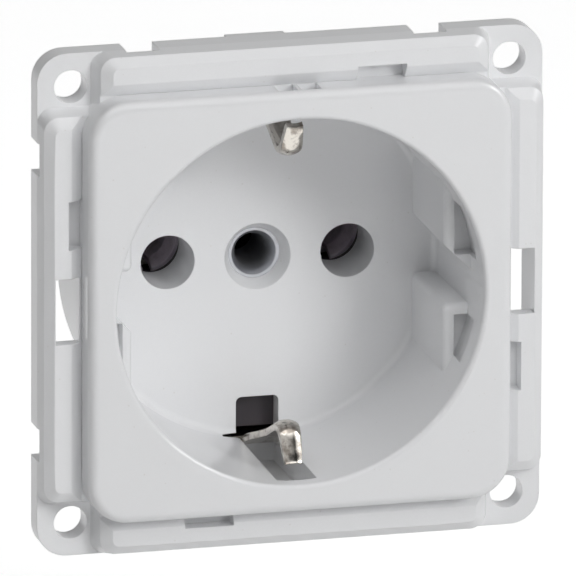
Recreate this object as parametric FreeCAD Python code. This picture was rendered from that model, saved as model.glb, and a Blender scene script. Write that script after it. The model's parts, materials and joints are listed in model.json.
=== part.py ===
import FreeCAD, Part
import math
import os

# Type F (earthed, side clips) flush wall socket on a screw-on mounting flange.
# Millimetres. X is across the socket, Z is up, and the front faces -Y.
# The origin is the middle of the four fixing holes, on the rear plane of the flange.

# mounting flange and its four corner ears
flange_corner = 3.1
ear_side = 6.5
ear_thickness = 2.5
fixing_edge = 3.5
fixing_bore = 3.45
skirt_wall = 1.35

# raised band between the ears
band_across = 4.3
band_height = 5.0
band_wall = 1.6
band_inset = 0.45
band_edge = 0.85
band_corner = 1.6
band_end_slope = 0.9
ear_inner_wall = 0.9

# roll of the band down to the centre plate
roll_width = 1.3
roll_depth = 0.95
roll_bulge = 0.22

# square centre plate
plate_rim = 2.9
plate_height = 7.5
plate_corner = 4.2
plate_edge = 1.0
plate_wall = 1.9
plate_hollow_corner = 2.4

# windows beside the centre plate
slot_gap = 0.3
slot_length = 6.9
latch_width = 1.6
latch_length = 5.1
latch_depth = 1.8
latch_floor = 1.2
latch_offset = 9.0
pry_width = 2.0
pry_rib = 0.45
pry_depth = 1.2
pry_front = 1.0
pry_rear = 3.3
pry_skim = 0.05

# notches in the rear edge of the skirt
notch_length = 3.4
notch_depth = 3.1
notch_places = (15.6, -14.5)

# plug recess
recess_bore = 38.6
recess_taper = 0.2
recess_lip = 0.5
recess_depth = 18.0
recess_floor_round = 0.8
recess_wall = 1.3
floor_thickness = 2.0

# guides at both sides of the recess
guide_bite = 2.9
guide_wall = 1.05
guide_start = 5.4
guide_round = 0.6
guide_root = 0.3
ledge_round = 0.8
groove_skin = 0.05
groove_floor_z = -2.84
groove_top_z = 0.72
groove_slope_z = 3.55
pocket_start = 2.9
pocket_depth = 1.5
pocket_bite = 0.45
pocket_rib = 1.1

# pin passages
pin_pitch = 19.0
pin_bore = 5.7
pin_tube_wall = 1.45

# centre seat of the rivet
seat_cone_diameter = 7.0
seat_cone_depth = 1.55
seat_diameter = 5.4
boss_diameter = 9.0
boss_length = 3.0

# openings for the earth clips
clip_slot_width = 4.2
clip_slot_front = 1.9
floor_window_reach = 4.4
floor_window_extra = 0.15
floor_window_round = 0.6
shoulder_clearance = 0.2
shoulder_mouth = 0.35

# chambers outside the recess wall, behind the earth clips
clip_room = 1.6
clip_room_wall = 1.0

# earth bracket
strip_thickness = 0.7
bracket_thickness = 0.8
bracket_width = 7.2
clip_width = 3.9
tongue_width = 2.4
tongue_tip_width = 1.7
clip_seat = 0.25
clip_bend = 1.2
clip_ramp_set = 0.2
clip_ramp_angle = 24.4
clip_nose_angle = 65.0
clip_tip_depth = 3.1
clip_tip_radius = 17.9
clip_crest_bend = 2.0
clip_crown = 0.42
clip_stations = 26
shoulder_set = 0.15
taper_first = 0.22
taper_last = 0.58
tip_taper_power = 8
clip_least_crown = 0.02

# contact base behind the recess
base_side_wall = 0.8
base_corner = 3.5
base_depth = 12.6
base_web = 1.8
base_rim = 1.5
rim_gap_clearance = 0.4
rim_clearance = 0.15
screen_lap = 3.4
screen_clearance = 0.55
base_pin_bore = 6.6
chamber_bore = 7.4
well_bore = 7.8

# rear cover
cover_thickness = 1.6
cover_edge = 0.5
spigot_wall = 1.0
spigot_length = 1.5
spigot_clearance = 0.15
access_bore = 6.6

# pin sleeves
sleeve_bore = 4.6
sleeve_wall = 0.6
sleeve_mouth = 6.0
sleeve_flare = 1.6
sleeve_slot = 0.9
sleeve_ring = 2.2
sleeve_set_back = 0.2
tail_width = 5.0
tail_thickness = 0.8
tail_clearance = 0.3
spring_thickness = 0.4
spring_length = 1.6
spring_gap = 1.4
spring_place = 2.4

# terminals
terminal_shift = 0.3
terminal_edge = 4.0
terminal_overhang = 3.2
terminal_pocket = 7.0
tail_rear = 10.4
nut_side = 6.2
nut_thickness = 2.2
nut_edge = 0.4
clamp_side = 6.4
clamp_thickness = 1.0
clamp_groove = 0.45
wire_bore = 2.6
wire_spacing = 4.2
wire_window_depth = 2.2
screw_shank = 3.5
screw_head = 5.6
screw_head_height = 2.0
screw_head_round = 0.5
screw_tail = 2.0
screw_slot = 0.8
screw_slot_depth = 1.0
shank_clearance = 0.3
strap_width = 5.0
strap_ring = 7.0
strap_leg_gap = 2.9
strap_nut_gap = 1.5
strap_bend = 0.9

# centre rivet and its washer
rivet_bore = 3.4
rivet_wall = 0.35
rivet_funnel = 1.95
rivet_curve = 0.16
rivet_roll = 0.85
washer_diameter = 7.2
washer_thickness = 0.6

# long screws through cover and base
cover_screw_edge = 4.2
cover_screw_shank = 2.9
cover_screw_head = 5.6
cover_screw_cone = 1.4
cover_screw_bite = 4.0
screw_tip_clearance = 0.2
post_diameter = 6.0
rest_post_diameter = 4.4

# levels along Y, from the front to the rear
face_y = -plate_height
floor_y = face_y + recess_depth
floor_rear = floor_y + floor_thickness
boss_rear = floor_rear + boss_length
bracket_rear = boss_rear + bracket_thickness
base_front = bracket_rear + bracket_thickness
base_rear = base_front + base_depth
web_rear = base_front + base_web
cover_rear = base_rear + cover_thickness
tail_rear_y = base_front + tail_rear
tail_front_y = tail_rear_y - tail_thickness
nut_front_y = tail_front_y - nut_thickness
clamp_rear_y = tail_rear_y + clamp_thickness

# shared radii and halves
recess_radius = recess_bore / 2
recess_outer = recess_radius + recess_wall
plate_half = recess_radius + plate_rim
flange_half = plate_half + band_across
fixing_half = flange_half - fixing_edge
band_half = flange_half - band_inset
band_end = flange_half - ear_side
guide_half = recess_radius - guide_bite
floor_window_inner = recess_radius - floor_window_reach
clip_radius = recess_radius + clip_seat
clip_ramp_start = recess_depth - clip_ramp_set
shoulder_depth = recess_depth + shoulder_set
groove_reach = recess_radius - groove_skin
pocket_reach = recess_radius + pocket_bite
pin_x = pin_pitch / 2
rivet_outer = rivet_bore / 2 + rivet_wall
strap_leg_z = washer_diameter / 2 + strap_leg_gap
terminal_x = pin_x - terminal_shift
terminal_z = strap_leg_z + tail_thickness / 2 + strap_nut_gap + nut_side / 2
base_half_x = pin_x + chamber_bore / 2 + base_side_wall
base_half_z = terminal_z + terminal_edge
cover_screw_x = base_half_x - cover_screw_edge
cover_screw_z = -terminal_z
shank_radius = screw_shank / 2
sides = (-1, 1)
beyond = 1.0


def vec(x, y, z):
    return FreeCAD.Vector(x, y, z)


def disc(x, z, radius, y0, y1):
    """Cylinder along Y."""
    return Part.makeCylinder(radius, y1 - y0, vec(x, y0, z), vec(0, 1, 0))


def cone(x, z, radius0, radius1, y0, y1):
    """Cone along Y from radius0 at y0 to radius1 at y1."""
    return Part.makeCone(radius0, radius1, y1 - y0, vec(x, y0, z), vec(0, 1, 0))


def block(x0, x1, y0, y1, z0, z1):
    return Part.makeBox(x1 - x0, y1 - y0, z1 - z0, vec(x0, y0, z0))


def prism(points, y0, y1):
    """Outline of (x, z) points, pushed along Y."""
    corners = [vec(x, y0, z) for x, z in points]
    outline = Part.makePolygon(corners + corners[:1])
    return Part.Face(outline).extrude(vec(0, y1 - y0, 0))


def slab(half_x, half_z, corner, y0, y1):
    """Rectangular slab across Y with round corners."""
    solid = block(-half_x, half_x, y0, y1, -half_z, half_z)
    upright = [edge for edge in solid.Edges if abs(edge.BoundBox.YLength - (y1 - y0)) < 1e-6]
    return solid.makeFillet(corner, upright)


def frustum(half_x0, half_z0, y0, half_x1, half_z1, y1):
    """Four-sided tapered block between two rectangles across Y."""
    wires = []
    for half_x, half_z, y in ((half_x0, half_z0, y0), (half_x1, half_z1, y1)):
        corners = [vec(-half_x, y, -half_z), vec(half_x, y, -half_z),
                   vec(half_x, y, half_z), vec(-half_x, y, half_z)]
        wires.append(Part.makePolygon(corners + corners[:1]))
    return Part.makeLoft(wires, True, True)


def turned(edges, x=0.0, z=0.0):
    """Solid of revolution about the Y line through x, z, from edges in the XY plane."""
    face = Part.Face(Part.Wire(edges))
    solid = face.revolve(vec(0, 0, 0), vec(0, 1, 0), 360)
    solid.translate(vec(x, 0, z))
    return solid


def line(a, b):
    return Part.LineSegment(vec(a[0], a[1], 0), vec(b[0], b[1], 0)).toShape()


def arc(a, middle, b):
    points = [vec(p[0], p[1], 0) for p in (a, middle, b)]
    return Part.Arc(*points).toShape()


def quarter(start, corner, end):
    """Round that replaces the corner between start and end."""
    centre = (start[0] + end[0] - corner[0], start[1] + end[1] - corner[1])
    share = math.sqrt(0.5)
    middle = [centre[i] + share * (start[i] + end[i] - 2 * centre[i]) for i in (0, 1)]
    return arc(start, middle, end)


def quarter_turn(shape, count):
    """The shape, turned by quarter turns about the Y axis."""
    copy = shape.copy()
    copy.rotate(vec(0, 0, 0), vec(0, 1, 0), 90 * count)
    return copy


def edges_on_plane(shape, y, keep=lambda edge: True):
    """Edges that lie at one Y and pass a test."""
    found = []
    for edge in shape.Edges:
        flat = abs(edge.BoundBox.YMin - y) < 1e-4 and abs(edge.BoundBox.YMax - y) < 1e-4
        if flat and keep(edge):
            found.append(edge)
    return found


def joined(shapes):
    first, *rest = shapes
    return first.fuse(rest).removeSplitter()


def band():
    """Raised band: two crossed, tapered blocks whose ends stop at the ears."""
    start = -ear_thickness
    top = -band_height
    along = frustum(flange_half, band_end + band_end_slope, start, band_half, band_end, top)
    upright = [edge for edge in along.Edges if edge.BoundBox.YLength > ear_thickness / 2]
    along = along.makeFillet(band_corner, upright)
    along = along.makeChamfer(band_edge, edges_on_plane(along, top))
    solid = along.fuse(quarter_turn(along, 1))
    reach = plate_half + roll_width
    inner = plate_half - beyond
    corner = (plate_half, top + roll_depth)
    middle = ((plate_half + reach) / 2 + roll_bulge, top + roll_depth / 2 - roll_bulge)
    roll = [line((inner, top - beyond), (reach, top - beyond)), line((reach, top - beyond), (reach, top)),
            arc((reach, top), middle, corner), line(corner, (inner, corner[1])),
            line((inner, corner[1]), (inner, top - beyond))]
    cutter = Part.Face(Part.Wire(roll)).extrude(vec(0, 0, 2 * flange_half))
    cutter.translate(vec(0, 0, -flange_half))
    return solid.cut([quarter_turn(cutter, count) for count in range(4)])


def centre_plate():
    solid = slab(plate_half, plate_half, plate_corner, face_y, 0)
    return solid.makeFillet(plate_edge, edges_on_plane(solid, face_y))


def flange_hollow():
    """Rear hollow under the band and the centre plate, around the recess wall."""
    inside = flange_half - skirt_wall
    ear_side = band_end - ear_inner_wall
    roof = band_wall - band_height
    lane = block(-inside, inside, roof, beyond, -ear_side, ear_side)
    plate_inside = plate_half - plate_wall
    under_plate = slab(plate_inside, plate_inside, plate_hollow_corner, plate_wall - plate_height, roof + beyond)
    hollow = lane.fuse([quarter_turn(lane, 1), under_plate])
    kept = [disc(0, 0, recess_outer, face_y, beyond)]
    x0 = plate_half - latch_floor
    x1 = flange_half
    half = latch_length / 2 + latch_floor
    roof_floor = latch_depth + latch_floor - band_height
    pad = block(x0, x1, face_y, roof_floor, -half - latch_offset, half - latch_offset)
    kept += [quarter_turn(pad, count) for count in range(4)]
    pry_half = pry_width + pry_rib / 2 + latch_floor
    kept.append(block(-pry_half, pry_half, face_y, face_y + pry_rear + latch_floor,
                      plate_half - pry_depth - latch_floor, flange_half))
    return hollow.cut(kept)


def band_openings():
    """Through slots left and right, latch recesses on all four sides, pry windows at the top."""
    cutters = []
    half = slot_length / 2
    slot = block(plate_half + slot_gap, flange_half - skirt_wall, -plate_height, beyond, -half, half)
    cutters += [slot, quarter_turn(slot, 2)]
    half = latch_length / 2
    recess = block(plate_half, plate_half + latch_width, -plate_height, latch_depth - band_height,
                   -half - latch_offset, half - latch_offset)
    cutters += [quarter_turn(recess, count) for count in range(4)]
    for side in sides:
        near = side * pry_rib / 2
        far = side * (pry_rib / 2 + pry_width)
        cutters.append(block(min(near, far), max(near, far), face_y + pry_front, face_y + pry_rear,
                             plate_half - pry_depth, plate_half + pry_skim))
    return cutters


def skirt_notches():
    """Notches in the rear edge of the skirt, two on each side."""
    cutters = []
    half = notch_length / 2
    inside = flange_half - skirt_wall - beyond
    for place in notch_places:
        left = block(-flange_half - beyond, -inside, -notch_depth, beyond, place - half, place + half)
        top = block(-place - half, -place + half, -notch_depth, beyond, inside, flange_half + beyond)
        cutters += [left, top, quarter_turn(left, 2), quarter_turn(top, 2)]
    return cutters


def recess_space():
    """Room of the plug recess, with its lip and the round at its floor."""
    front = face_y - beyond
    lip = recess_radius + recess_lip
    foot = recess_radius - recess_taper
    edges = [
        line((0, front), (lip, front)),
        line((lip, front), (lip, face_y)),
        quarter((lip, face_y), (recess_radius, face_y), (recess_radius, face_y + recess_lip)),
        line((recess_radius, face_y + recess_lip), (foot, floor_y - recess_floor_round)),
        arc((foot, floor_y - recess_floor_round),
            (foot - recess_floor_round * (1 - math.sqrt(0.5)), floor_y - recess_floor_round * (1 - math.sqrt(0.5))),
            (foot - recess_floor_round, floor_y)),
        line((foot - recess_floor_round, floor_y), (0, floor_y)),
        line((0, floor_y), (0, front)),
    ]
    return turned(edges)


def guide():
    """Flat side guide on the right, with its stepped groove and the hollow pockets behind it."""
    start = face_y + guide_start
    outer = recess_radius + guide_root
    end = floor_y + guide_root
    solid = disc(0, 0, outer, start, end)
    solid = solid.common(block(guide_half, outer, start, end, -outer, outer))
    run = groove_reach - guide_half
    rise = groove_slope_z - groove_top_z
    mouth = guide_half - run
    solid = solid.cut(prism([(mouth, groove_floor_z), (groove_reach, groove_floor_z),
                             (groove_reach, groove_top_z), (mouth, groove_top_z + 2 * rise)],
                            start - beyond, end + beyond))
    ledge = edges_on_plane(solid, start, lambda edge: abs(edge.BoundBox.ZMin - groove_floor_z) < 1e-4
                           and edge.BoundBox.ZLength < 1e-4)
    solid = solid.makeFillet(ledge_round, ledge)
    chord = edges_on_plane(solid, start, lambda edge: abs(edge.BoundBox.XMax - guide_half) < 1e-4)
    return solid.makeFillet(guide_round, chord)


def guide_pockets():
    """Two blind pockets between the guide wall and the recess wall, open to the front."""
    inner = guide_half + guide_wall
    start = face_y + pocket_start
    end = face_y + guide_start + pocket_depth
    room = disc(0, 0, pocket_reach, start, end)
    upper_z = groove_slope_z - pocket_rib
    lower_z = groove_floor_z - pocket_rib
    upper = block(inner, pocket_reach, start, end, upper_z, pocket_reach)
    lower = block(inner, pocket_reach, start, end, -pocket_reach, lower_z)
    return [room.common(upper), room.common(lower)]


def clip_openings():
    """Floor window, wall slot and shoulder slot of the lower earth clip."""
    half = clip_slot_width / 2
    closed_floor = floor_rear - clip_room_wall
    wall_slot = block(-half, half, face_y + clip_slot_front, closed_floor,
                      -recess_outer - floor_window_extra, -recess_radius + recess_floor_round)
    shoulder_z = strip_thickness / 2 + shoulder_clearance
    window_half = half + floor_window_extra
    depth = clip_radius + shoulder_z - floor_window_inner
    window = slab(window_half, depth / 2, floor_window_round, floor_y - beyond, floor_rear + beyond)
    window.translate(vec(0, 0, -floor_window_inner - depth / 2))
    shoulder = bracket_width / 2 + shoulder_clearance
    shoulder_slot = block(-shoulder, shoulder, floor_y - recess_floor_round, floor_rear + beyond,
                          -clip_radius - shoulder_z, -clip_radius + shoulder_z + shoulder_mouth)
    room = block(-half, half, band_wall - band_height, closed_floor,
                 -recess_outer - clip_room, -recess_radius)
    return [wall_slot, window, shoulder_slot, room]


def clip_chamber():
    """Box outside the recess wall that closes the room behind the lower earth clip."""
    half = clip_slot_width / 2 + clip_room_wall
    return block(-half, half, band_wall - band_height, floor_rear,
                 -recess_outer - clip_room - clip_room_wall, -recess_radius)


def front_housing():
    """The one light grey moulding: flange, band, centre plate, recess and pin tubes."""
    ears = slab(flange_half, flange_half, flange_corner, -ear_thickness, 0)
    solid = joined([ears, band(), centre_plate()])
    solid = solid.cut(flange_hollow())
    outer = [disc(0, 0, recess_outer, face_y + plate_wall, floor_rear),
             disc(0, 0, boss_diameter / 2, floor_y, boss_rear)]
    outer += [disc(side * pin_x, 0, pin_bore / 2 + pin_tube_wall, floor_y, base_front) for side in sides]
    outer += [disc(side * cover_screw_x, cover_screw_z, post_diameter / 2, floor_y, base_front) for side in sides]
    outer += [disc(side * cover_screw_x, -cover_screw_z, rest_post_diameter / 2, floor_y, base_front)
              for side in sides]
    chamber = clip_chamber()
    outer += [chamber, quarter_turn(chamber, 2)]
    solid = solid.fuse(outer)
    solid = solid.cut(recess_space())
    right = guide()
    solid = solid.fuse([right, quarter_turn(right, 2)])
    cutters = guide_pockets() + clip_openings()
    cutters += [quarter_turn(cutter, 2) for cutter in cutters]
    cutters += band_openings() + skirt_notches()
    for x in sides:
        cutters.append(disc(x * pin_x, 0, pin_bore / 2, floor_y - beyond, base_front + beyond))
        cutters.append(disc(x * cover_screw_x, cover_screw_z, cover_screw_shank / 2,
                            base_front - cover_screw_bite, base_front + beyond))
        for z in sides:
            cutters.append(disc(x * fixing_half, z * fixing_half, fixing_bore / 2,
                                -plate_height, beyond))
    cutters.append(rivet_seat())
    return solid.cut(cutters).removeSplitter()


def rivet_seat():
    """Countersink and funnel seat in the middle of the floor."""
    rim = seat_cone_diameter / 2
    seat = seat_diameter / 2
    level = floor_y + seat_cone_depth
    foot = level + rivet_funnel
    edges = [line((0, floor_y), (rim, floor_y)), line((rim, floor_y), (seat, level)),
             funnel_curve(seat, level, rivet_outer, foot),
             line((rivet_outer, foot), (rivet_outer, boss_rear)),
             line((rivet_outer, boss_rear), (0, boss_rear)), line((0, boss_rear), (0, floor_y))]
    return turned(edges)


def funnel_curve(radius0, y0, radius1, y1):
    """Hollow flare between two radii, as an arc that sags toward the axis."""
    middle = ((radius0 + radius1) / 2 - rivet_curve, (y0 + y1) / 2 - rivet_curve)
    return arc((radius0, y0), middle, (radius1, y1))


def centre_rivet():
    """Hollow rivet with a flared head in front and a rolled rim behind."""
    bore = rivet_bore / 2
    seat = seat_diameter / 2
    level = floor_y + seat_cone_depth
    foot = level + rivet_funnel
    rear = web_rear + washer_thickness
    roll = rivet_outer + rivet_roll
    end = rear + rivet_wall
    edges = [
        line((seat - rivet_wall, level), (seat, level)),
        funnel_curve(seat, level, rivet_outer, foot),
        line((rivet_outer, foot), (rivet_outer, rear)),
        line((rivet_outer, rear), (roll, rear)),
        line((roll, rear), (roll, end)),
        line((roll, end), (rivet_outer, end)),
        quarter((rivet_outer, end), (bore, end), (bore, end - rivet_wall)),
        line((bore, end - rivet_wall), (bore, foot)),
        funnel_curve(bore, foot, seat - rivet_wall, level),
    ]
    return turned(edges)


def rivet_washer():
    ring = disc(0, 0, washer_diameter / 2, web_rear, web_rear + washer_thickness)
    return ring.cut(disc(0, 0, rivet_outer, web_rear - beyond, web_rear + beyond))


def bent_path(points, bends):
    """Wire through (y, z) points in the YZ plane, with a round of each radius at the inner points."""
    places = [vec(0, y, z) for y, z in points]
    edges = []
    start = places[0]
    for index, bend in enumerate(bends):
        before, corner, after = places[index:index + 3]
        into = (corner - before).normalize()
        out = (after - corner).normalize()
        half_turn = into.getAngle(out) / 2
        reach = bend * math.tan(half_turn)
        first = corner - into * reach
        last = corner + out * reach
        inward = (out - into).normalize()
        middle = corner + inward * (bend / math.cos(half_turn) - bend)
        edges += [Part.LineSegment(start, first).toShape(), Part.Arc(first, middle, last).toShape()]
        start = last
    edges.append(Part.LineSegment(start, places[-1]).toShape())
    return Part.Wire(edges)


def bent_strip(points, bends, thickness, half_width):
    """Flat strip of constant width that follows a bent path, centred on it."""
    path = bent_path(points, bends)
    (y0, z0), (y1, z1) = points[0], points[1]
    length = math.hypot(y1 - y0, z1 - z0)
    off_y = (z1 - z0) / length * thickness / 2
    off_z = -(y1 - y0) / length * thickness / 2
    corners = [vec(x, y0 + side * off_y, z0 + side * off_z)
               for x, side in ((-half_width, -1), (half_width, -1), (half_width, 1), (-half_width, 1))]
    section = Part.makePolygon(corners + corners[:1])
    return path.makePipeShell([section], True, True, 1)


def clip_path():
    """Centre line of the lower clip, from the floor to its tip, in the YZ plane."""
    ramp = math.tan(math.radians(clip_ramp_angle))
    nose = math.tan(math.radians(clip_nose_angle))
    drop = clip_tip_radius + nose * clip_tip_depth - clip_radius + ramp * clip_ramp_start
    crest_depth = drop / (ramp + nose)
    crest_radius = clip_tip_radius - nose * (crest_depth - clip_tip_depth)
    stations = ((recess_depth + floor_thickness, clip_radius), (clip_ramp_start, clip_radius),
                (crest_depth, crest_radius), (clip_tip_depth, clip_tip_radius))
    points = [(face_y + depth, -radius) for depth, radius in stations]
    return bent_path(points, (clip_bend, clip_crest_bend))


def clip_section(place, along, width, crown):
    """Cross-section of the clip: a strip that arches toward the middle of the recess."""
    normal = along.cross(vec(1, 0, 0)).normalize()
    if normal.z < 0:
        normal = normal * -1
    half = width / 2
    edges = []
    ends = []
    for side in (1, -1):
        lift = normal * (side * strip_thickness / 2)
        left = place + lift - vec(half, 0, 0) - normal * crown
        right = place + lift + vec(half, 0, 0) - normal * crown
        ends.append((left, right))
        edges.append(Part.Arc(left, place + lift, right).toShape())
    (upper_left, upper_right), (lower_left, lower_right) = ends
    edges.insert(1, Part.LineSegment(upper_right, lower_right).toShape())
    edges.append(Part.LineSegment(lower_left, upper_left).toShape())
    return Part.Wire(Part.__sortEdges__(edges))


def clip():
    """Lower earth clip: it narrows to a crowned tongue over the crest and the nose."""
    path = clip_path()
    points = path.discretize(Number=clip_stations)
    wires = []
    for index, place in enumerate(points):
        before = points[max(index - 1, 0)]
        after = points[min(index + 1, clip_stations - 1)]
        share = index / (clip_stations - 1)
        narrowing = min(max((share - taper_first) / (taper_last - taper_first), 0.0), 1.0)
        narrowing = narrowing * narrowing * (3 - 2 * narrowing)
        width = clip_width + (tongue_width - clip_width) * narrowing
        width -= (tongue_width - tongue_tip_width) * share ** tip_taper_power
        crown = clip_crown * narrowing * min(width / tongue_width, 1.0) ** 2
        wires.append(clip_section(place, after - before, width, max(crown, clip_least_crown)))
    return Part.makeLoft(wires, True, False)


def earth_bracket():
    """Strip across the back of the recess floor whose two ends are the earth clips."""
    centre_y = boss_rear + bracket_thickness / 2
    edge = -clip_radius
    points = ((centre_y, 0), (centre_y, edge), (face_y + shoulder_depth, edge))
    arm = bent_strip(points, (clip_bend,), bracket_thickness, bracket_width / 2)
    half = joined([arm, clip()])
    solid = joined([half, quarter_turn(half, 2)])
    return solid.cut(disc(0, 0, rivet_outer, boss_rear - beyond, base_front))


def earth_terminal_strap():
    """Strap from the rivet, through the base, to the earth terminal."""
    front_y = bracket_rear + tail_thickness / 2
    rear_y = tail_rear_y - tail_thickness / 2
    end_z = terminal_z + terminal_overhang
    points = ((front_y, 0), (front_y, -strap_leg_z), (rear_y, -strap_leg_z), (rear_y, -end_z))
    strip = bent_strip(points, (strap_bend, strap_bend), tail_thickness, strap_width / 2)
    ring = disc(0, 0, strap_ring / 2, bracket_rear, base_front)
    solid = joined([strip, ring])
    solid = solid.cut(disc(0, 0, rivet_outer, boss_rear, web_rear))
    return solid.cut(disc(0, -terminal_z, shank_radius, tail_front_y - beyond, tail_rear_y + beyond))


def pin_contact(side):
    """Sprung sleeve for one pin, with its tail to the terminal."""
    x = side * pin_x
    bore = sleeve_bore / 2
    mouth = sleeve_mouth / 2
    front = web_rear + sleeve_set_back
    throat = front + sleeve_flare
    rear = tail_rear_y
    edges = [
        line((mouth, front), (mouth + sleeve_wall, front)),
        line((mouth + sleeve_wall, front), (bore + sleeve_wall, throat)),
        line((bore + sleeve_wall, throat), (bore + sleeve_wall, rear)),
        line((bore + sleeve_wall, rear), (bore, rear)),
        line((bore, rear), (bore, throat)),
        line((bore, throat), (mouth, front)),
    ]
    sleeve = turned(edges, x)
    half = sleeve_slot / 2
    sleeve = sleeve.cut(block(x - half, x + half, front - beyond, rear - sleeve_ring,
                              -sleeve_mouth, sleeve_mouth))
    tail = block(x - tail_width / 2, x + tail_width / 2, tail_front_y, rear,
                 0, terminal_z + terminal_overhang)
    solid = joined([sleeve, tail])
    solid = solid.cut(disc(x, 0, bore, front, rear + beyond))
    return solid.cut(disc(side * terminal_x, terminal_z, shank_radius, tail_front_y - beyond, rear + beyond))


def contact_spring(side):
    """Open steel ring around the fingers of one sleeve."""
    x = side * pin_x
    inner = sleeve_bore / 2 + sleeve_wall
    outer = inner + spring_thickness
    y0 = web_rear + sleeve_set_back + spring_place
    y1 = y0 + spring_length
    ring = disc(x, 0, outer, y0, y1).cut(disc(x, 0, inner, y0, y1))
    gap = block(0, outer, y0, y1, -spring_gap / 2, spring_gap / 2)
    gap.translate(vec(x, 0, 0))
    return ring.cut(gap)


def terminals():
    """Centres of the three terminals: live, neutral and earth."""
    return {"live": (-terminal_x, terminal_z), "neutral": (terminal_x, terminal_z), "earth": (0, -terminal_z)}


def terminal_nut(x, z):
    half = nut_side / 2
    solid = slab(half, half, nut_edge, nut_front_y, tail_front_y)
    solid = solid.cut(disc(0, 0, shank_radius, nut_front_y, tail_front_y))
    solid.translate(vec(x, 0, z))
    return solid


def clamp_plate(x, z):
    """Plate over the tail, with a groove for a wire on either side of the screw."""
    half = clamp_side / 2
    solid = block(-half, half, tail_rear_y, clamp_rear_y, -half, half)
    solid = solid.cut(disc(0, 0, shank_radius, tail_rear_y, clamp_rear_y))
    for side in sides:
        groove = Part.makeCylinder(wire_bore / 2, clamp_side,
                                   vec(side * wire_spacing / 2, tail_rear_y - wire_bore / 2 + clamp_groove, -half),
                                   vec(0, 0, 1))
        solid = solid.cut(groove)
    solid.translate(vec(x, 0, z))
    return solid


def terminal_screw(x, z):
    """Slotted pan-head screw; its head faces the rear."""
    head = screw_head / 2
    seat = clamp_rear_y
    end = seat + screw_head_height
    tail = nut_front_y - screw_tail
    edges = [
        line((0, tail), (shank_radius, tail)),
        line((shank_radius, tail), (shank_radius, seat)),
        line((shank_radius, seat), (head, seat)),
        line((head, seat), (head, end - screw_head_round)),
        quarter((head, end - screw_head_round), (head, end), (head - screw_head_round, end)),
        line((head - screw_head_round, end), (0, end)),
        line((0, end), (0, tail)),
    ]
    solid = turned(edges)
    half = screw_slot / 2
    solid = solid.cut(block(-head, head, end - screw_slot_depth, end + beyond, -half, half))
    solid.translate(vec(x, 0, z))
    return solid


def cover_screw(side):
    """Long countersunk screw through the cover and the base into its post."""
    head = cover_screw_head / 2
    shank = cover_screw_shank / 2
    tail = base_front - cover_screw_bite + screw_tip_clearance
    edges = [
        line((0, tail), (shank, tail)),
        line((shank, tail), (shank, cover_rear - cover_screw_cone)),
        line((shank, cover_rear - cover_screw_cone), (head, cover_rear)),
        line((head, cover_rear), (0, cover_rear)),
        line((0, cover_rear), (0, tail)),
    ]
    solid = turned(edges, side * cover_screw_x, cover_screw_z)
    half = screw_slot / 2
    x = side * cover_screw_x
    slot = block(x - head, x + head, cover_rear - screw_slot_depth, cover_rear + beyond,
                 cover_screw_z - half, cover_screw_z + half)
    return solid.cut(slot)


def base_rim_wall():
    """Rim that closes the space between the base and the recess floor, open for the earth bracket."""
    rim = slab(base_half_x, base_half_z, base_corner, floor_rear, base_front)
    inner = slab(base_half_x - base_rim, base_half_z - base_rim, base_corner - base_rim, floor_rear, base_front)
    gap = bracket_width / 2 + rim_gap_clearance
    cutters = [inner, block(-gap, gap, floor_rear, base_front, -base_half_z - beyond, base_half_z + beyond)]
    tube = pin_bore / 2 + pin_tube_wall + rim_clearance
    post = post_diameter / 2 + rim_clearance
    for side in sides:
        cutters += [disc(side * pin_x, 0, tube, floor_rear, base_front),
                    disc(side * cover_screw_x, cover_screw_z, post, floor_rear, base_front)]
    return rim.cut(cutters)


def window_screen():
    """Plate of the base behind the lower floor window, in front of the earth bracket."""
    half = bracket_width / 2 + rim_gap_clearance + base_rim
    near = floor_window_inner - screen_lap
    far = clip_radius - bracket_thickness / 2 - screen_clearance
    return block(-half, half, floor_rear, boss_rear - rim_clearance, -far, -near)


def contact_base():
    """Dark base with chambers for the sleeves, the rivet and the three terminals."""
    solid = slab(base_half_x, base_half_z, base_corner, base_front, base_rear)
    screen = window_screen()
    solid = joined([solid, base_rim_wall(), screen, quarter_turn(screen, 2)])
    open_rear = base_rear + beyond
    cutters = [disc(0, 0, rivet_outer, base_front - beyond, open_rear),
               disc(0, 0, well_bore / 2, web_rear, open_rear)]
    channel = tail_width / 2 + tail_clearance
    for side in sides:
        x = side * pin_x
        cutters += [disc(x, 0, base_pin_bore / 2, base_front - beyond, open_rear),
                    disc(x, 0, chamber_bore / 2, web_rear, open_rear),
                    block(x - channel, x + channel, tail_front_y, open_rear, 0, terminal_z),
                    disc(side * cover_screw_x, cover_screw_z, (cover_screw_shank + shank_clearance) / 2,
                         base_front - beyond, open_rear)]
    leg = strap_leg_z
    leg_room = tail_thickness / 2 + tail_clearance
    half = strap_width / 2 + tail_clearance
    bend_room = strap_bend + tail_thickness
    cutters += [block(-half, half, base_front - beyond, open_rear, -leg - leg_room, -leg + leg_room),
                block(-half, half, base_front - beyond, base_front + bend_room, -leg - leg_room, bend_room - leg),
                block(-half, half, tail_front_y - bend_room, open_rear, -terminal_z, -leg)]
    pocket = terminal_pocket / 2
    for x, z in terminals().values():
        outward = 1 if z > 0 else -1
        cutters += [block(x - pocket, x + pocket, nut_front_y, open_rear, z - pocket, z + pocket),
                    disc(x, z, (screw_shank + shank_clearance) / 2,
                         nut_front_y - screw_tail - shank_clearance, open_rear)]
        for side in sides:
            wire_x = x + side * wire_spacing / 2
            z0, z1 = sorted((z, outward * (base_half_z + beyond)))
            window = block(wire_x - wire_bore / 2, wire_x + wire_bore / 2,
                           base_rear - wire_window_depth, open_rear, z0, z1)
            cutters.append(window)
    return solid.cut(cutters).removeSplitter()


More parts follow.
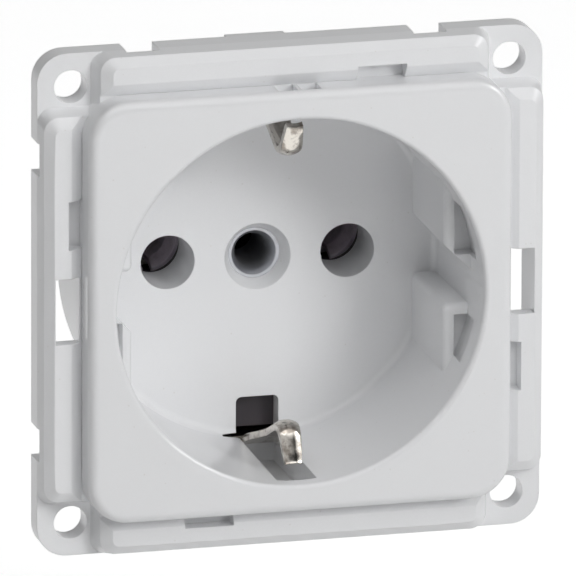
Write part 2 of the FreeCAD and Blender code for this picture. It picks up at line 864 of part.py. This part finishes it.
def rear_cover():
    """Flat cover with access holes to the terminal screws and a spigot in the rivet well."""
    solid = slab(base_half_x, base_half_z, base_corner, base_rear, cover_rear)
    solid = solid.makeFillet(cover_edge, edges_on_plane(solid, cover_rear))
    spigot = well_bore / 2 - spigot_clearance
    ring = disc(0, 0, spigot, base_rear - spigot_length, base_rear + spigot_wall)
    ring = ring.cut(disc(0, 0, spigot - spigot_wall, base_rear - spigot_length - beyond, base_rear))
    solid = joined([solid, ring])
    cutters = [disc(x, z, access_bore / 2, base_rear - beyond, cover_rear + beyond)
               for x, z in terminals().values()]
    for side in sides:
        x = side * cover_screw_x
        cutters += [disc(x, cover_screw_z, cover_screw_shank / 2, base_rear - beyond, cover_rear),
                    cone(x, cover_screw_z, cover_screw_shank / 2, cover_screw_head / 2,
                         cover_rear - cover_screw_cone, cover_rear)]
    return solid.cut(cutters).removeSplitter()


def build():
    pieces = {
        "front_housing": front_housing(),
        "contact_base": contact_base(),
        "rear_cover": rear_cover(),
        "earth_bracket": earth_bracket(),
        "earth_terminal_strap": earth_terminal_strap(),
        "centre_rivet": centre_rivet(),
        "rivet_washer": rivet_washer(),
    }
    for name, side in (("live", -1), ("neutral", 1)):
        pieces[name + "_contact"] = pin_contact(side)
        pieces[name + "_contact_spring"] = contact_spring(side)
    for name, (x, z) in terminals().items():
        pieces[name + "_terminal_nut"] = terminal_nut(x, z)
        pieces[name + "_clamp_plate"] = clamp_plate(x, z)
        pieces[name + "_terminal_screw"] = terminal_screw(x, z)
    for name, side in (("left", -1), ("right", 1)):
        pieces["cover_screw_" + name] = cover_screw(side)
    return pieces


os.makedirs("parts", exist_ok=True)
for node, shape in build().items():
    shape.exportStep("parts/" + node + ".step")
    print(node, "solids", len(shape.Solids), "valid", shape.isValid(), "volume", round(shape.Volume, 1))
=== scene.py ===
import json
import math

import bpy
from mathutils import Matrix, Vector


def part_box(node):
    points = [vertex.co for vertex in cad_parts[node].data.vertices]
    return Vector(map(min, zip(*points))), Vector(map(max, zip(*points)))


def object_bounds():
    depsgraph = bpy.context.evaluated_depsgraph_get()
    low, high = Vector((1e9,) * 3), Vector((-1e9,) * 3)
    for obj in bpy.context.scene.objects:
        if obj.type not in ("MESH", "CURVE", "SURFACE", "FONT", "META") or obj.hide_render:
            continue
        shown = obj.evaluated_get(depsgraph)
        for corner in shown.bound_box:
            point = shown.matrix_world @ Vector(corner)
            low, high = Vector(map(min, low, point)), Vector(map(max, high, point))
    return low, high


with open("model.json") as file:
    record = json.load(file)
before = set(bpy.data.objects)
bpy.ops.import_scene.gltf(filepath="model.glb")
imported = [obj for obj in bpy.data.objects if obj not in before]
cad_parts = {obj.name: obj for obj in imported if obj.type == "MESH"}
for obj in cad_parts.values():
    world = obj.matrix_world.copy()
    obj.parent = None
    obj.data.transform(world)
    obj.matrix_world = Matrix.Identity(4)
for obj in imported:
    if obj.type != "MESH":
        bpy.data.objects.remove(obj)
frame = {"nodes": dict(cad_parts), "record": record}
cadLow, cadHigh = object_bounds()
mm = 0.001
white = (1, 1, 1, 1)
print("frame loaded:", len(frame["nodes"]), "pieces")


# Node helpers

def feed(tree, source, socket):
    if isinstance(source, bpy.types.NodeSocket):
        tree.links.new(source, socket)
    else:
        socket.default_value = source


def addNode(tree, kind, inputs=None, **settings):
    node = tree.nodes.new(kind)
    for name, value in settings.items():
        setattr(node, name, value)
    for name, value in (inputs or {}).items():
        feed(tree, value, node.inputs[name])
    return node


def maths(tree, operation, a, b):
    node = addNode(tree, "ShaderNodeMath", {0: a, 1: b}, operation=operation)
    return node.outputs["Value"]


def spread(tree, value, span, newLow, newHigh, kind="LINEAR"):
    # carries a span of values over to new ends; a span may run downwards
    ends = {"From Min": span[0], "From Max": span[1], "To Min": newLow, "To Max": newHigh}
    node = addNode(tree, "ShaderNodeMapRange", {"Value": value, **ends}, interpolation_type=kind)
    return node.outputs["Result"]


def tint(tree, amount, colourA, colourB):
    # the Mix node keeps its colour sockets at 6 and 7, and its colour result at 2
    node = addNode(tree, "ShaderNodeMix", data_type="RGBA")
    feed(tree, amount, node.inputs["Factor"])
    feed(tree, colourA, node.inputs[6])
    feed(tree, colourB, node.inputs[7])
    return node.outputs[2]


def blend(tree, amount, numberA, numberB):
    node = addNode(tree, "ShaderNodeMix")
    feed(tree, amount, node.inputs["Factor"])
    feed(tree, numberA, node.inputs[2])
    feed(tree, numberB, node.inputs[3])
    return node.outputs[0]


def aligned(tree, wayA, wayB):
    # the cosine of the angle between two directions
    node = addNode(tree, "ShaderNodeVectorMath", {0: wayA, 1: wayB}, operation="DOT_PRODUCT")
    return node.outputs["Value"]


def noise(tree, place, size, detail=2.0, roughness=0.5):
    # size is the width of one blotch in mm, as a socket
    scale = maths(tree, "DIVIDE", 1 / mm, size)
    node = addNode(tree, "ShaderNodeTexNoise", {
        "Vector": place, "Scale": scale, "Detail": detail, "Roughness": roughness})
    return node.outputs["Fac"]


def makeGroup(name, inputs, outputs):
    group = bpy.data.node_groups.new(name, "ShaderNodeTree")
    for label, value in inputs.items():
        kind = "NodeSocketVector" if isinstance(value, tuple) else "NodeSocketFloat"
        socket = group.interface.new_socket(label, in_out="INPUT", socket_type=kind)
        socket.default_value = value
    for label in outputs:
        kind = "NodeSocketVector" if label == "Normal" else "NodeSocketFloat"
        group.interface.new_socket(label, in_out="OUTPUT", socket_type=kind)
    return group, addNode(group, "NodeGroupInput").outputs, addNode(group, "NodeGroupOutput").inputs


def useGroup(tree, group, **values):
    # an underscore stands for the space in the name of a socket
    node = addNode(tree, "ShaderNodeGroup", node_tree=group)
    for name, value in values.items():
        feed(tree, value, node.inputs[name.replace("_", " ")])
    return node.outputs


# Effects that several materials share

# cosines between the rounded and the plain normal where an edge begins to show, and where it is full
edgeSpan = (0.98, 0.75)

# a speck in shares of its cell, from its rim to its full core
speckSpan = (0.22, 0.05)

# noise values from the rim of a pit to its floor
pitSpan = (0.66, 0.8)


def makeSoftEdges():
    # rounds the shading of sharp moulded or stamped edges, and marks where they are
    group, given, result = makeGroup("softEdges", {"Radius": 0.1}, ["Normal", "Edge"])
    radius = maths(group, "MULTIPLY", given["Radius"], mm)
    rounded = addNode(group, "ShaderNodeBevel", {"Radius": radius}, samples=6).outputs["Normal"]
    plain = addNode(group, "ShaderNodeNewGeometry").outputs["Normal"]
    same = aligned(group, rounded, plain)
    feed(group, rounded, result["Normal"])
    feed(group, spread(group, same, edgeSpan, 0.0, 1.0), result["Edge"])
    return group


def makeMouldedSkin():
    # fine grain, slow waves from cooling, and flow clouds of a moulded surface
    sizes = {"Grain Size": 0.1, "Wave Size": 3.0, "Flow Size": 14.0}
    group, given, result = makeGroup("mouldedSkin", sizes, ["Grain", "Waves", "Flow"])
    place = addNode(group, "ShaderNodeTexCoord").outputs["Object"]
    grain = noise(group, place, given["Grain Size"], detail=3.0, roughness=0.6)
    waves = noise(group, place, given["Wave Size"], detail=1.0)
    flow = noise(group, place, given["Flow Size"], roughness=0.45)
    for label, source in (("Grain", grain), ("Waves", waves), ("Flow", flow)):
        feed(group, source, result[label])
    return group


def makeDust():
    # specks in a random share of small cells
    group, given, result = makeGroup("dust", {"Speck Size": 0.35, "Speck Share": 0.1}, ["Specks"])
    place = addNode(group, "ShaderNodeTexCoord").outputs["Object"]
    scale = maths(group, "DIVIDE", 1 / mm, given["Speck Size"])
    cells = addNode(group, "ShaderNodeTexVoronoi", {"Vector": place, "Scale": scale})
    draw = addNode(group, "ShaderNodeSeparateColor", {"Color": cells.outputs["Color"]})
    rare = maths(group, "LESS_THAN", draw.outputs["Red"], given["Speck Share"])
    dot = spread(group, cells.outputs["Distance"], speckSpan, 0.0, 1.0)
    feed(group, maths(group, "MULTIPLY", rare, dot), result["Specks"])
    return group


def makeRolledMetal():
    # streaks along the strip, small pits, and blotches of tarnish
    sizes = {"Stretch": (1.0, 0.05, 0.05), "Streak Size": 0.08, "Blotch Size": 1.6}
    group, given, result = makeGroup("rolledMetal", sizes, ["Streaks", "Blotches", "Pits"])
    place = addNode(group, "ShaderNodeTexCoord").outputs["Object"]
    stretched = addNode(group, "ShaderNodeVectorMath", {0: place, 1: given["Stretch"]},
                        operation="MULTIPLY").outputs["Vector"]
    streaks = noise(group, stretched, given["Streak Size"], detail=3.0, roughness=0.6)
    blotches = noise(group, place, given["Blotch Size"], detail=4.0, roughness=0.6)
    pits = spread(group, noise(group, place, given["Streak Size"]), pitSpan, 0.0, 1.0)
    for label, source in (("Streaks", streaks), ("Blotches", blotches), ("Pits", pits)):
        feed(group, source, result[label])
    return group


softEdges = makeSoftEdges()
mouldedSkin = makeMouldedSkin()
dust = makeDust()
rolledMetal = makeRolledMetal()


# Materials

def newMaterial(name, **settings):
    material = bpy.data.materials.new(name)
    material.use_nodes = True
    tree = material.node_tree
    shader = tree.nodes["Principled BSDF"]
    for label, value in settings.items():
        shader.inputs[label.replace("_", " ")].default_value = value
    return material, tree, shader


def bumped(tree, height, normal, depth):
    # depth in mm
    node = addNode(tree, "ShaderNodeBump", {
        "Height": height, "Normal": normal, "Strength": 1.0, "Distance": depth * mm})
    return node.outputs["Normal"]


def tinted(tree, mask, strength, colourA, colourB):
    return tint(tree, maths(tree, "MULTIPLY", mask, strength), colourA, colourB)


def finishShader(tree, shader, colour, rough, normal):
    feed(tree, colour, shader.inputs["Base Color"])
    feed(tree, rough, shader.inputs["Roughness"])
    feed(tree, normal, shader.inputs["Normal"])


# sizes, depths and radii of all looks are in mm; a span picks the values of a noise that count
housingLook = {
    "colour": (0.905, 0.910, 0.921, 1), "shade": (0.898, 0.903, 0.915, 1),
    # edge and its tint: a lighter colour painted on rounded edges, a painted highlight
    "edge": (0.93, 0.932, 0.938, 1), "edgeHighlightTint": 0.45,
    "grainColour": (0.880, 0.885, 0.897, 1),
    "dust": (0.72, 0.70, 0.67, 1), "dustTint": 0.5, "dustRoughness": 0.3,
    "roughness": 0.33, "roughnessSpread": 0.06, "coat": 0.4, "coatRoughness": 0.13,
    "edgeRadius": 0.16, "grainSize": 0.11, "waveSize": 3.4, "flowSize": 15.0,
    "grainDepth": 0.003, "waveDepth": 0.006, "speckSize": 0.55, "speckShare": 0.035,
    "grainSpan": (0.35, 0.75), "cloudSpan": (0.2, 0.8), "flowSpan": (0.1, 0.9), "ior": 1.53,
}


def makeHousingPlastic(look):
    material, tree, shader = newMaterial("housingPlastic", IOR=look["ior"], Coat_Weight=look["coat"],
                                         Coat_Roughness=look["coatRoughness"])
    edges = useGroup(tree, softEdges, Radius=look["edgeRadius"])
    skin = useGroup(tree, mouldedSkin, Grain_Size=look["grainSize"], Wave_Size=look["waveSize"],
                    Flow_Size=look["flowSize"])
    marks = useGroup(tree, dust, Speck_Size=look["speckSize"], Speck_Share=look["speckShare"])
    clouds = spread(tree, skin["Flow"], look["cloudSpan"], 0.0, 1.0, "SMOOTHERSTEP")
    grain = spread(tree, skin["Grain"], look["grainSpan"], 0.0, 1.0)
    colour = tint(tree, clouds, look["shade"], look["colour"])
    colour = tint(tree, grain, colour, look["grainColour"])
    # painted highlight: rounded edges are tinted lighter, as if they caught the light
    colour = tinted(tree, edges["Edge"], look["edgeHighlightTint"], colour, look["edge"])
    colour = tinted(tree, marks["Specks"], look["dustTint"], colour, look["dust"])
    smoothest = look["roughness"] - look["roughnessSpread"] / 2
    roughest = smoothest + look["roughnessSpread"]
    rough = spread(tree, skin["Flow"], look["flowSpan"], smoothest, roughest)
    dusty = maths(tree, "MULTIPLY", marks["Specks"], look["dustRoughness"])
    rough = maths(tree, "ADD", rough, dusty)
    normal = bumped(tree, skin["Waves"], edges["Normal"], look["waveDepth"])
    normal = bumped(tree, skin["Grain"], normal, look["grainDepth"])
    finishShader(tree, shader, colour, rough, normal)
    return material


baseLook = {
    "colour": (0.074, 0.066, 0.075, 1), "shade": (0.056, 0.050, 0.057, 1),
    # edge: a lighter colour painted on rounded edges as a painted highlight, and also the colour of
    # the dust specks
    "edge": (0.12, 0.115, 0.12, 1), "edgeHighlightTint": 0.6, "speckTint": 0.5,
    "smoothest": 0.44, "roughest": 0.62, "edgeRadius": 0.12, "grainSize": 0.16, "flowSize": 6.0,
    "grainDepth": 0.012, "speckSize": 0.5, "speckShare": 0.05, "grainSpan": (0.3, 0.7), "ior": 1.55,
}


def makeBasePlastic(look):
    material, tree, shader = newMaterial("basePlastic", IOR=look["ior"])
    edges = useGroup(tree, softEdges, Radius=look["edgeRadius"])
    skin = useGroup(tree, mouldedSkin, Grain_Size=look["grainSize"], Flow_Size=look["flowSize"])
    marks = useGroup(tree, dust, Speck_Size=look["speckSize"], Speck_Share=look["speckShare"])
    colour = tint(tree, skin["Flow"], look["shade"], look["colour"])
    # painted highlight: rounded edges are tinted lighter; the dust specks below take the same
    # lighter colour
    colour = tinted(tree, edges["Edge"], look["edgeHighlightTint"], colour, look["edge"])
    colour = tinted(tree, marks["Specks"], look["speckTint"], colour, look["edge"])
    rough = spread(tree, skin["Grain"], look["grainSpan"], look["smoothest"], look["roughest"])
    normal = bumped(tree, skin["Grain"], edges["Normal"], look["grainDepth"])
    finishShader(tree, shader, colour, rough, normal)
    return material


metalLooks = {
    "nickelPlate": {
        "colour": (0.70, 0.665, 0.61, 1), "tarnish": (0.20, 0.16, 0.13, 1), "tarnishShare": 0.7,
        "metallic": 1.0, "roughness": 0.14, "roughnessSpread": 0.11,
        "stretch": (1.0, 0.06, 0.06), "streakSize": 0.10, "streakDepth": 0.0016, "edgeRadius": 0.12,
    },
    "rivetPlate": {
        "colour": (0.50, 0.51, 0.54, 1), "tarnish": (0.44, 0.43, 0.43, 1), "tarnishShare": 0.35,
        "metallic": 0.8, "roughness": 0.33, "roughnessSpread": 0.08,
        "stretch": (0.2, 1.0, 0.2), "streakSize": 0.12, "streakDepth": 0.0014, "edgeRadius": 0.08,
    },
    "tinnedSleeve": {
        "colour": (0.80, 0.73, 0.80, 1), "tarnish": (0.60, 0.54, 0.59, 1), "tarnishShare": 0.5,
        "metallic": 0.4, "roughness": 0.45, "roughnessSpread": 0.16,
        "stretch": (1.0, 0.08, 1.0), "streakSize": 0.12, "streakDepth": 0.002, "edgeRadius": 0.1,
    },
    "rolledBrass": {
        "colour": (0.76, 0.57, 0.27, 1), "tarnish": (0.42, 0.27, 0.12, 1), "tarnishShare": 0.6,
        "metallic": 1.0, "roughness": 0.35, "roughnessSpread": 0.12,
        "stretch": (1.0, 0.08, 0.08), "streakSize": 0.09, "streakDepth": 0.0022, "edgeRadius": 0.1,
    },
    "zincSteel": {
        "colour": (0.62, 0.63, 0.65, 1), "tarnish": (0.50, 0.47, 0.38, 1), "tarnishShare": 0.55,
        "metallic": 1.0, "roughness": 0.38, "roughnessSpread": 0.16,
        "stretch": (0.5, 0.5, 0.5), "streakSize": 0.14, "streakDepth": 0.004, "edgeRadius": 0.12,
    },
}

# wear that all metals share: blotches of tarnish, dark pits, and edges rubbed clean
metalWear = {
    "blotchSize": 1.3, "blotchSpan": (0.46, 0.66), "streakSpan": (0.3, 0.7), "pitTint": 0.5,
    "edgeShine": 0.4,
}


def makeMetal(name, look, wear):
    material, tree, shader = newMaterial(name, Metallic=look["metallic"])
    edges = useGroup(tree, softEdges, Radius=look["edgeRadius"])
    rolled = useGroup(tree, rolledMetal, Stretch=look["stretch"], Streak_Size=look["streakSize"],
                      Blotch_Size=wear["blotchSize"])
    stain = spread(tree, rolled["Blotches"], wear["blotchSpan"], 0.0, look["tarnishShare"],
                   "SMOOTHSTEP")
    pits = maths(tree, "MULTIPLY", rolled["Pits"], wear["pitTint"])
    stain = maths(tree, "MAXIMUM", stain, pits)
    colour = tint(tree, stain, look["colour"], look["tarnish"])
    colour = tinted(tree, edges["Edge"], wear["edgeShine"], colour, look["colour"])
    smoothest = look["roughness"] - look["roughnessSpread"] / 2
    roughest = smoothest + look["roughnessSpread"]
    rough = spread(tree, rolled["Streaks"], wear["streakSpan"], smoothest, roughest)
    rough = maths(tree, "ADD", rough, maths(tree, "MULTIPLY", stain, look["roughnessSpread"]))
    normal = bumped(tree, rolled["Streaks"], edges["Normal"], look["streakDepth"])
    finishShader(tree, shader, colour, rough, normal)
    return material


materials = {name: makeMetal(name, look, metalWear) for name, look in metalLooks.items()}
materials["housingPlastic"] = makeHousingPlastic(housingLook)
materials["basePlastic"] = makeBasePlastic(baseLook)
print("materials made:", len(materials))

# the material of each slot of the record, and of the pieces that differ from their slot
finishes = {
    "housing_plastic": "housingPlastic", "base_plastic": "basePlastic",
    "nickel_plate": "nickelPlate", "brass": "rolledBrass", "zinc_steel": "zincSteel",
}
ownFinish = {
    "centre_rivet": "rivetPlate", "live_contact": "tinnedSleeve", "neutral_contact": "tinnedSleeve",
}


def dressNodes():
    slots = {part["node"]: part["material_slot"] for part in frame["record"]["subparts"]}
    for name, piece in frame["nodes"].items():
        finish = ownFinish.get(name) or finishes[slots[name]]
        piece.data.materials.clear()
        piece.data.materials.append(materials[finish])


dressNodes()
print("pieces dressed:", len(frame["nodes"]))


# Studio

# a span says where a change begins and ends, from the front of the room at -1 to its rear at 1
studio = {
    "worldWhite": 1.0, "fillFront": 0.03, "fillRear": 0.12, "fillSpan": (-0.6, 0.6),
    "mirrorFront": 0.25, "mirrorFrontSpan": (-0.98, -0.85),
    "mirrorRear": 0.5, "mirrorRearSpan": (0.2, 0.9),
    "floorGap": 30.0, "floorSize": 6000.0, "floorColour": (0.86, 0.86, 0.86, 1),
    "floorRoughness": 0.9, "floorGlow": 0.68,
}

# azimuth 0 is in front of the socket, 90 to its right; sizes and distances in mm, power in watts
lampDistance = 900
lamps = {
    "key": {"azimuth": 35, "elevation": 20, "size": 260, "power": 2.5, "mirrored": False},
    "top": {"azimuth": 10, "elevation": 40, "size": 500, "power": 2.1, "mirrored": False},
    "side": {"azimuth": -60, "elevation": 60, "size": 500, "power": 1.35, "mirrored": True},
    "rear": {"azimuth": 180, "elevation": 8, "size": 700, "power": 0.7, "mirrored": False},
}

# what mirrors see of the studio's walls: each glow grows from dark to bright towards its own
# direction, over a span of cosines
glows = {
    "left": {"azimuth": -60, "elevation": 35, "span": (0.25, 0.9), "dark": 0.03, "bright": 0.62},
    "right": {"azimuth": 82, "elevation": 28, "span": (0.78, 0.93), "dark": 0.0, "bright": 1.5},
    "softbox": {"azimuth": 76, "elevation": 34, "span": (0.955, 0.985), "dark": 0.0, "bright": 8.0},
    "ceiling": {"azimuth": 10, "elevation": 76, "span": (0.74, 0.94), "dark": 0.0, "bright": 1.6},
}


def direction(azimuth, elevation):
    turn, rise = math.radians(azimuth), math.radians(elevation)
    level = math.cos(rise)
    return Vector((math.sin(turn) * level, -math.cos(turn) * level, math.sin(rise)))


def seenDirectly(tree):
    path = addNode(tree, "ShaderNodeLightPath").outputs
    direct = maths(tree, "MAXIMUM", path["Is Camera Ray"], path["Is Glossy Ray"])
    return maths(tree, "MAXIMUM", direct, path["Is Transmission Ray"])


def makeMirrored(tree, way, depth, look, walls):
    # glowing walls with dark between; dim behind the viewer, pale at the rear
    mirrored = 0.0
    for glow in walls.values():
        facing = aligned(tree, way, direction(glow["azimuth"], glow["elevation"]))
        shine = spread(tree, facing, glow["span"], glow["dark"], glow["bright"])
        mirrored = maths(tree, "MAXIMUM", mirrored, shine)
    front = spread(tree, depth, look["mirrorFrontSpan"], look["mirrorFront"], 1.0, "SMOOTHSTEP")
    rear = spread(tree, depth, look["mirrorRearSpan"], 0.0, look["mirrorRear"])
    return maths(tree, "MAXIMUM", maths(tree, "MULTIPLY", mirrored, front), rear)


def makeWorld(look, walls):
    # white to the eye, and as light a little brighter from the rear
    world = bpy.data.worlds.new("studio")
    bpy.context.scene.world = world
    world.use_nodes = True
    tree = world.node_tree
    backdrop = tree.nodes["Background"]
    backdrop.inputs["Color"].default_value = white
    path = addNode(tree, "ShaderNodeLightPath").outputs
    way = addNode(tree, "ShaderNodeTexCoord").outputs["Generated"]
    depth = addNode(tree, "ShaderNodeSeparateXYZ", {"Vector": way}).outputs["Y"]
    mirrored = makeMirrored(tree, way, depth, look, walls)
    fill = spread(tree, depth, look["fillSpan"], look["fillFront"], look["fillRear"])
    strength = blend(tree, path["Is Glossy Ray"], fill, mirrored)
    seen = maths(tree, "MAXIMUM", path["Is Camera Ray"], path["Is Transmission Ray"])
    strength = blend(tree, seen, strength, look["worldWhite"])
    feed(tree, strength, backdrop.inputs["Strength"])


def makeFloor(look):
    half = look["floorSize"] * mm / 2
    level = cadLow.z - look["floorGap"] * mm
    mesh = bpy.data.meshes.new("floor")
    plan = ((-half, -half), (half, -half), (half, half), (-half, half))
    mesh.from_pydata([(x, y, level) for x, y in plan], [], [(0, 1, 2, 3)])
    floor = bpy.data.objects.new("floor", mesh)
    bpy.context.scene.collection.objects.link(floor)
    material, tree, shader = newMaterial("paleFloor", Roughness=look["floorRoughness"])
    shader.inputs["Base Color"].default_value = look["floorColour"]
    shader.inputs["Emission Color"].default_value = white
    glow = maths(tree, "MULTIPLY", seenDirectly(tree), look["floorGlow"])
    feed(tree, glow, shader.inputs["Emission Strength"])
    mesh.materials.append(material)


def makeLamp(name, look):
    light = bpy.data.lights.new(name, "AREA")
    light.size = look["size"] * mm
    light.energy = look["power"]
    lamp = bpy.data.objects.new(name, light)
    bpy.context.scene.collection.objects.link(lamp)
    towards = direction(look["azimuth"], look["elevation"])
    lamp.location = towards * lampDistance * mm
    lamp.rotation_mode = "QUATERNION"
    lamp.rotation_quaternion = towards.to_track_quat("Z", "Y")
    lamp.visible_camera = False
    lamp.visible_glossy = look["mirrored"]


# the camera turns about a point on the front of the centre plate; lengths in mm, angles in degrees
cameraLook = {
    "azimuth": -14.709, "elevation": 15.96, "roll": 0.218, "distance": 2051.7,
    "aimX": -1.487, "aimZ": 1.720, "focal": 1263.2, "sensor": 36.0,
    "nearest": 100, "farthest": 20000,
}


def makeCamera(look):
    data = bpy.data.cameras.new("camera")
    data.sensor_width = look["sensor"]
    data.lens = look["focal"]
    data.clip_start = look["nearest"] * mm
    data.clip_end = look["farthest"] * mm
    camera = bpy.data.objects.new("camera", data)
    bpy.context.scene.collection.objects.link(camera)
    bpy.context.scene.camera = camera
    back = direction(look["azimuth"], look["elevation"])
    azimuth, roll = math.radians(look["azimuth"]), math.radians(look["roll"])
    right = Vector((math.cos(azimuth), math.sin(azimuth), 0))
    up = back.cross(right)
    across = right * math.cos(roll) + up * math.sin(roll)
    upward = up * math.cos(roll) - right * math.sin(roll)
    aim = Vector((look["aimX"] * mm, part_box("front_housing")[0].y, look["aimZ"] * mm))
    matrix = Matrix((across, upward, back)).transposed().to_4x4()
    matrix.translation = aim + back * look["distance"] * mm
    camera.matrix_world = matrix


makeWorld(studio, glows)
makeFloor(studio)
for lampName, lampLook in lamps.items():
    makeLamp(lampName, lampLook)
makeCamera(cameraLook)
bpy.context.scene.view_settings.view_transform = "Standard"
print("studio and camera made")
